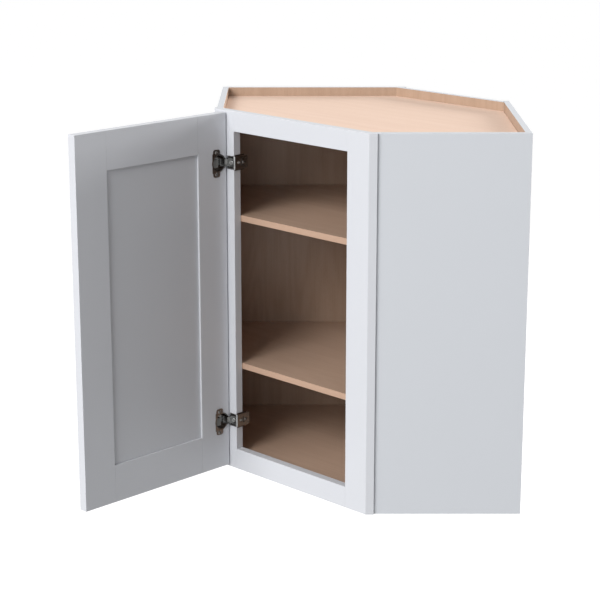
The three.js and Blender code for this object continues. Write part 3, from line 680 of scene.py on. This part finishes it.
# A darker copy of the nickel, painted shade, on the cups' walls, the arms' cut top and bottom faces and the
# whole base plates.
nickel_painted_shade = finish_of(
    "nickel_painted_shade", plated_steel,
    {"Bright Plate": NICKEL_SHADE_BRIGHT, "Dark Plate": NICKEL_SHADE_DARK, "Smooth": 0.3, "Rough": 0.5},
    ALONG_Z, PLATE_RELIEF, metallic=1.0,
)
bright_cam = finish_of(
    "bright_cam", plated_steel,
    {"Bright Plate": CAM_BRIGHT, "Dark Plate": CAM_DARK, "Smooth": 0.2, "Rough": 0.36},
    ALONG_Z, PLATE_RELIEF, metallic=1.0,
)
damper_plastic = finish_of(
    "damper_plastic", plated_steel,
    {"Bright Plate": DAMPER_PALE, "Dark Plate": DAMPER_DARK, "Smooth": 0.4, "Rough": 0.5},
    ALONG_Z, PLASTIC_RELIEF,
)
# Near-black plate for the sheet behind each front leaf: painted shade in the leaf's slots.
slot_shade_black = finish_of(
    "slot_shade_black", plated_steel,
    {"Bright Plate": SLOT_SHADE_PALE, "Dark Plate": SLOT_SHADE_DARK, "Smooth": 0.45, "Rough": 0.65},
    ALONG_Z, PLATE_RELIEF, specular=0.3,
)


def leaf_slot_shade(height):
    """A thin black sheet between an arm's front leaf and the stile, painted shade that shows in the leaf's
    slots.
    """
    arm_low, arm_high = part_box(f"{height}_hinge_arm")
    back = left_stile_low.y - SHADE_SHEET_OFF_STILE
    low = (arm_low.x + LEAF_FROM_KNUCKLE, back - SHADE_SHEET_THICKNESS, arm_low.z + SHADE_SHEET_INSET)
    high = (left_stile_high.x - SHADE_SHEET_INSET, back, arm_high.z - SHADE_SHEET_INSET)
    sheet = bmesh.new()
    bmesh.ops.create_cube(sheet, size=1.0)
    for vertex in sheet.verts:
        vertex.co = [near if side < 0 else far for side, near, far in zip(vertex.co, low, high)]
    through = [
        edge for edge in sheet.edges if abs(edge.verts[0].co.y - edge.verts[1].co.y) > SHADE_SHEET_THICKNESS / 2
    ]
    bmesh.ops.bevel(sheet, geom=through, offset=SHADE_SHEET_CORNER, segments=5, profile=0.5, affect="EDGES")
    mesh = bpy.data.meshes.new(f"{height}_hinge_slot_shade")
    sheet.to_mesh(mesh)
    sheet.free()
    mesh.materials.append(slot_shade_black)
    shade_sheet = bpy.data.objects.new(f"{height}_hinge_slot_shade", mesh)
    bpy.context.scene.collection.objects.link(shade_sheet)
    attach(shade_sheet, "cabinet")


def arm_dress(normal, centre):
    """Nickel on an arm, a darker copy of the nickel as painted shade on the sheet's cut top and bottom faces,
    and a bright cam on its front leaf.
    """
    off_leaf = left_stile_low.y - centre.y - LEAF_TO_STILE - CAM_MARGIN
    if centre.x > leaf_start and 0.0 < off_leaf < CAM_PROUD:
        return SET_APART
    return NICKEL_SHADED if abs(normal.z) > CUT_EDGE_TILT else NICKELLED


def cup_dress(normal, centre):
    """A cup darker, as painted shade, on every face not turned out of the door, a nickel flange, and the grey
    plastic of the damper just below it.
    """
    if normal.x <= CUP_FACE_TILT:
        return NICKEL_SHADED
    return SET_APART if FLANGE_THICKNESS < cup_face - centre.x < DAMPER_BELOW else NICKELLED


for height in ("upper", "lower"):
    leaf_slot_shade(height)
    eased_piece(
        f"{height}_hinge_cup_pressing", f"{height}_hinge_cup", "door", HINGE_EASE,
        [nickel_plate, nickel_painted_shade, damper_plastic], cup_dress, shortest=0.0,
    )
    eased_piece(
        f"{height}_hinge_arm_pressing", f"{height}_hinge_arm", "cabinet", HINGE_EASE,
        [nickel_plate, nickel_painted_shade, bright_cam], arm_dress, shortest=0.0,
    )
    # The base plate is all in the darker nickel, painted shade.
    eased_piece(
        f"{height}_hinge_base_plate", f"{height}_hinge_plate", "cabinet", HINGE_EASE,
        [nickel_painted_shade], shortest=0.0,
    )
    hinge_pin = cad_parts[f"{height}_hinge_pin"]
    hinge_pin.data.materials.clear()
    hinge_pin.data.materials.append(nickel_plate)

# Hinge screws
# Cross-headed steel screws, zinc plated: two hold each cup, one fixes each plate and arm to the stile,
# and a short one in each arm sets the door sideways.
ZINC_BRIGHT = (0.66, 0.65, 0.63, 1.0)
ZINC_DARK = (0.46, 0.45, 0.43, 1.0)
# Darker zinc tones: painted shade on the cup screws and the adjusting screws.
ZINC_SHADE_BRIGHT = (0.27, 0.26, 0.25, 1.0)
ZINC_SHADE_DARK = (0.15, 0.14, 0.13, 1.0)
SCREW_LENGTH = 0.013
ADJUSTER_LENGTH = 0.0034
SCREW_POINT_LENGTH = 0.003
SCREW_HEAD_HEIGHT = 0.0014
SCREW_EASE = 0.00008
SOFTENED_ANGLE = math.radians(35)
SHARP_ANGLE = math.radians(40)
SHANK_IN_HEAD = 0.0002
POINT_IN_SHANK = 0.00001
BLUNT_TIP = 0.0004
QUARTER_TURN = math.pi / 2


def shape_step(tree, kind, values, links, **settings):
    """A node with its plain values set and its other inputs linked."""
    made = add_node(tree, kind, values, **settings)
    for key, source in links.items():
        tree.links.new(source, made.inputs[key])
    return made.outputs[0]


def moved(tree, shape, height, turn=(0.0, 0.0, 0.0)):
    """A shape set at a height on its own axis."""
    place = add_node(tree, "ShaderNodeCombineXYZ")
    if isinstance(height, float):
        place.inputs["Z"].default_value = height
    else:
        tree.links.new(height, place.inputs["Z"])
    return shape_step(
        tree, "GeometryNodeTransform", {"Rotation": turn},
        {"Geometry": shape, "Translation": place.outputs[0]},
    )


def carved(tree, operation, first, others):
    """The union, the common part or the rest of solid shapes."""
    made = add_node(tree, "GeometryNodeMeshBoolean", operation=operation, solver="EXACT")
    if operation == "DIFFERENCE":
        tree.links.new(first, made.inputs["Mesh 1"])
    else:
        tree.links.new(first, made.inputs["Mesh 2"])
    for other in others:
        tree.links.new(other, made.inputs["Mesh 2"])
    return made.outputs["Mesh"]


def repeated_piece(name, tree, seats, values, body, nodes, ease):
    """The tree's shape at every seat, as one plain mesh that stands for its CAD nodes."""
    marks = bpy.data.meshes.new(name)
    marks.from_pydata([place for place, way in seats], [], [])
    ways = marks.attributes.new("way", "FLOAT_VECTOR", "POINT")
    for item, (place, way) in zip(ways.data, seats):
        item.vector = way
    piece = bpy.data.objects.new(name, marks)
    bpy.context.scene.collection.objects.link(piece)
    repeat = piece.modifiers.new("at_every_seat", "NODES")
    repeat.node_group = tree
    for socket in tree.interface.items_tree:
        if socket.in_out == "INPUT" and socket.name in values:
            repeat[socket.identifier] = values[socket.name]
    soft_edge = piece.modifiers.new("soft_edge", "BEVEL")
    soft_edge.width = ease
    soft_edge.segments = 2
    soft_edge.limit_method = "ANGLE"
    soft_edge.angle_limit = SOFTENED_ANGLE
    evaluated = piece.evaluated_get(bpy.context.evaluated_depsgraph_get())
    finished = bpy.data.meshes.new_from_object(evaluated)
    piece.modifiers.clear()
    piece.data = finished
    finished.name = name
    finished.shade_smooth()
    finished.set_sharp_from_angle(angle=SHARP_ANGLE)
    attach(piece, body)
    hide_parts(*nodes)


screws, screws_in, screws_out = group_tree(
    "cross_head_screws",
    [
        ("Seats", "Geometry", None),
        ("Length", "Float", SCREW_LENGTH),
        ("Point Length", "Float", SCREW_POINT_LENGTH),
        ("Shank Radius", "Float", 0.0014),
        ("Head Radius", "Float", 0.0033),
        ("Head Height", "Float", SCREW_HEAD_HEIGHT),
        ("Dome Radius", "Float", 0.0052),
        ("Cross Reach", "Float", 0.0036),
        ("Cross Width", "Float", 0.0009),
        ("Cross Depth", "Float", 0.0016),
        ("Seed", "Int", 7),
        ("Plating", "Material", None),
    ],
    [("Screws", "Geometry")],
    "GeometryNodeTree",
)
said = screws_in.outputs
shank_length = math_step(screws, "SUBTRACT", said["Length"], said["Point Length"])
shank_solid = shape_step(
    screws, "GeometryNodeMeshCylinder", {"Vertices": 24},
    {"Radius": said["Shank Radius"], "Depth": math_step(screws, "ADD", shank_length, 2 * SHANK_IN_HEAD)},
)
shank_middle = math_step(screws, "SUBTRACT", SHANK_IN_HEAD, math_step(screws, "MULTIPLY", shank_length, 0.5))
point_solid = shape_step(
    screws, "GeometryNodeMeshCone", {"Vertices": 24, "Radius Top": BLUNT_TIP},
    {"Radius Bottom": said["Shank Radius"], "Depth": said["Point Length"]},
)
dome = shape_step(
    screws, "GeometryNodeMeshUVSphere", {"Segments": 32, "Rings": 40}, {"Radius": said["Dome Radius"]}
)
head_drum = shape_step(
    screws, "GeometryNodeMeshCylinder", {"Vertices": 32},
    {"Radius": said["Head Radius"], "Depth": said["Head Height"]},
)
head_solid = carved(
    screws, "INTERSECT",
    moved(screws, dome, math_step(screws, "SUBTRACT", said["Head Height"], said["Dome Radius"])),
    [moved(screws, head_drum, math_step(screws, "MULTIPLY", said["Head Height"], 0.5))],
)
cross_size = add_node(screws, "ShaderNodeCombineXYZ")
screws.links.new(said["Cross Reach"], cross_size.inputs["X"])
screws.links.new(said["Cross Width"], cross_size.inputs["Y"])
screws.links.new(said["Cross Depth"], cross_size.inputs["Z"])
cross_bar = shape_step(screws, "GeometryNodeMeshCube", {}, {"Size": cross_size.outputs[0]})
set_shank = moved(screws, shank_solid, shank_middle)
point_start = math_step(screws, "SUBTRACT", POINT_IN_SHANK, shank_length)
set_point = moved(screws, point_solid, point_start, (math.pi, 0.0, 0.0))
whole_screw = carved(screws, "UNION", set_shank, [set_point, head_solid])
crossed_screw = carved(
    screws, "DIFFERENCE", whole_screw,
    [
        moved(screws, cross_bar, said["Head Height"]),
        moved(screws, cross_bar, said["Head Height"], (0.0, 0.0, QUARTER_TURN)),
    ],
)
screw_spin = add_node(screws, "FunctionNodeRandomValue", {"Max": QUARTER_TURN}, data_type="FLOAT")
screws.links.new(said["Seed"], screw_spin.inputs["Seed"])
spin_turn = add_node(screws, "ShaderNodeCombineXYZ")
screws.links.new(screw_spin.outputs["Value"], spin_turn.inputs["X"])
set_screws = shape_step(
    screws, "GeometryNodeInstanceOnPoints", {},
    {
        "Points": said["Seats"],
        "Instance": moved(screws, crossed_screw, 0.0, (0.0, QUARTER_TURN, 0.0)),
        "Rotation": spin_turn.outputs[0],
    },
)
real_screws = shape_step(screws, "GeometryNodeRealizeInstances", {}, {"Geometry": set_screws})
plated_screws = shape_step(
    screws, "GeometryNodeSetMaterial", {}, {"Geometry": real_screws, "Material": said["Plating"]}
)
screws.links.new(plated_screws, screws_out.inputs["Screws"])

zinc_plate = finish_of(
    "zinc_plate", plated_steel,
    {"Bright Plate": ZINC_BRIGHT, "Dark Plate": ZINC_DARK, "Smooth": 0.2, "Rough": 0.36},
    ALONG_X, PLATE_RELIEF, metallic=1.0,
)
# A darker copy of the zinc, painted shade, for the cup screws and the adjusting screws.
zinc_painted_shade = finish_of(
    "zinc_painted_shade", plated_steel,
    {"Bright Plate": ZINC_SHADE_BRIGHT, "Dark Plate": ZINC_SHADE_DARK, "Smooth": 0.26, "Rough": 0.42},
    ALONG_X, PLATE_RELIEF, metallic=1.0,
)
TOWARDS_X = (1.0, 0.0, 0.0)


def screw_seats(nodes):
    """Where each CAD screw's head sits, with its shank towards -X."""
    return [
        ((high.x - SCREW_HEAD_HEIGHT, (low.y + high.y) / 2, (low.z + high.z) / 2), TOWARDS_X)
        for low, high in (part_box(node) for node in nodes)
    ]


for piece_name, kinds, length, body, plating in (
    ("hinge_cup_screws", ("cup_screw_top", "cup_screw_bottom"), SCREW_LENGTH, "door", zinc_painted_shade),
    ("hinge_mounting_screws", ("mounting_screw",), SCREW_LENGTH, "cabinet", zinc_plate),
    ("hinge_adjusting_screws", ("adjuster",), ADJUSTER_LENGTH, "cabinet", zinc_painted_shade),
):
    screw_nodes = [f"{height}_hinge_{kind}" for height in ("upper", "lower") for kind in kinds]
    repeated_piece(
        piece_name, screws, screw_seats(screw_nodes),
        {"Length": length, "Point Length": min(SCREW_POINT_LENGTH, length / 2), "Plating": plating},
        body, screw_nodes, SCREW_EASE,
    )

# Shelf pins
# Twelve steel pins, pressed from strip: a round plug in a hole of the wall, with a lip against the wall
# and a tab below the loose shelf.
PIN_TAB_THICKNESS = 0.002
PIN_PLUG_RADIUS = 0.00235
MOUTH_SHIFT = 0.000866
PIN_EASE = 0.00025
shelf_pins, pins_in, pins_out = group_tree(
    "shelf_pins",
    [
        ("Seats", "Geometry", None),
        ("Plug Length", "Float", 0.0087),
        ("Plug Radius", "Float", PIN_PLUG_RADIUS),
        ("Tab Reach", "Float", 0.009),
        ("Tab Width", "Float", 0.009),
        ("Thickness", "Float", PIN_TAB_THICKNESS),
        ("Lip Drop", "Float", 0.005),
        ("Off Wall", "Float", 0.0003),
        ("Steel", "Material", None),
    ],
    [("Pins", "Geometry")],
    "GeometryNodeTree",
)
told = pins_in.outputs


def plate_of(size, place):
    """A flat plate of the pin, from three sizes and three places that are sockets or numbers."""
    plate_size = add_node(shelf_pins, "ShaderNodeCombineXYZ")
    plate_place = add_node(shelf_pins, "ShaderNodeCombineXYZ")
    for node, parts in ((plate_size, size), (plate_place, place)):
        for socket, part in zip(node.inputs, parts):
            if isinstance(part, float):
                socket.default_value = part
            else:
                shelf_pins.links.new(part, socket)
    plate = shape_step(shelf_pins, "GeometryNodeMeshCube", {}, {"Size": plate_size.outputs[0]})
    return shape_step(
        shelf_pins, "GeometryNodeTransform", {}, {"Geometry": plate, "Translation": plate_place.outputs[0]}
    )


def total(*parts):
    result = parts[0]
    for part in parts[1:]:
        result = math_step(shelf_pins, "ADD", result, part)
    return result


half_thickness = math_step(shelf_pins, "MULTIPLY", told["Thickness"], 0.5)
plug_depth = total(told["Plug Length"], told["Off Wall"], half_thickness)
plug = shape_step(
    shelf_pins, "GeometryNodeMeshCylinder", {"Vertices": 28},
    {"Radius": told["Plug Radius"], "Depth": plug_depth},
)
plug_place = add_node(shelf_pins, "ShaderNodeCombineXYZ")
plug_middle = math_step(
    shelf_pins, "SUBTRACT", math_step(shelf_pins, "MULTIPLY", plug_depth, 0.5), told["Plug Length"]
)
shelf_pins.links.new(plug_middle, plug_place.inputs["Y"])
set_plug = shape_step(
    shelf_pins, "GeometryNodeTransform", {"Rotation": (QUARTER_TURN, 0.0, 0.0)},
    {"Geometry": plug, "Translation": plug_place.outputs[0]},
)
lip_height = total(told["Lip Drop"], told["Plug Radius"], told["Plug Radius"], told["Thickness"])
tab_top = total(told["Plug Radius"], told["Thickness"])
lip_middle = math_step(shelf_pins, "SUBTRACT", tab_top, math_step(shelf_pins, "MULTIPLY", lip_height, 0.5))
lip = plate_of(
    (told["Tab Width"], told["Thickness"], lip_height),
    (0.0, total(told["Off Wall"], half_thickness), lip_middle),
)
tab_length = math_step(shelf_pins, "SUBTRACT", told["Tab Reach"], told["Off Wall"])
tab = plate_of(
    (told["Tab Width"], tab_length, told["Thickness"]),
    (
        0.0,
        math_step(shelf_pins, "ADD", told["Off Wall"], math_step(shelf_pins, "MULTIPLY", tab_length, 0.5)),
        total(told["Plug Radius"], half_thickness),
    ),
)
whole_pin = carved(shelf_pins, "UNION", set_plug, [lip, tab])
pin_way = add_node(shelf_pins, "GeometryNodeInputNamedAttribute", {"Name": "way"}, data_type="FLOAT_VECTOR")
pin_turn = add_node(shelf_pins, "FunctionNodeAlignRotationToVector", axis="Y", pivot_axis="Z")
shelf_pins.links.new(pin_way.outputs["Attribute"], pin_turn.inputs["Vector"])
set_pins = shape_step(
    shelf_pins, "GeometryNodeInstanceOnPoints", {},
    {"Points": told["Seats"], "Instance": whole_pin, "Rotation": pin_turn.outputs["Rotation"]},
)
real_pins = shape_step(shelf_pins, "GeometryNodeRealizeInstances", {}, {"Geometry": set_pins})
steel_pins = shape_step(
    shelf_pins, "GeometryNodeSetMaterial", {}, {"Geometry": real_pins, "Material": told["Steel"]}
)
shelf_pins.links.new(steel_pins, pins_out.inputs["Pins"])

pin_nodes = []
pin_seats = []
for height in ("upper", "lower"):
    for hand, side in (("left", -1.0), ("right", 1.0)):
        for place, depth_way in (("rear", 1.0), ("front", 1.0), ("back", -1.0)):
            node_name = f"{height}_shelf_pin_{hand}_{place}"
            low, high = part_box(node_name)
            way = (-side * math.sqrt(0.5), depth_way * math.sqrt(0.5), 0.0)
            mouth = (
                (low.x + high.x) / 2 + side * MOUTH_SHIFT,
                (low.y + high.y) / 2 - depth_way * MOUTH_SHIFT,
                high.z - PIN_TAB_THICKNESS - PIN_PLUG_RADIUS,
            )
            pin_nodes.append(node_name)
            pin_seats.append((mouth, way))
pin_steel = finish_of(
    "pin_steel", plated_steel,
    {"Bright Plate": ZINC_BRIGHT, "Dark Plate": ZINC_DARK, "Smooth": 0.24, "Rough": 0.4},
    ALONG_X, PLATE_RELIEF, metallic=1.0,
)
repeated_piece(
    "shelf_pin_set", shelf_pins, pin_seats, {"Steel": pin_steel}, "cabinet", pin_nodes, PIN_EASE,
)
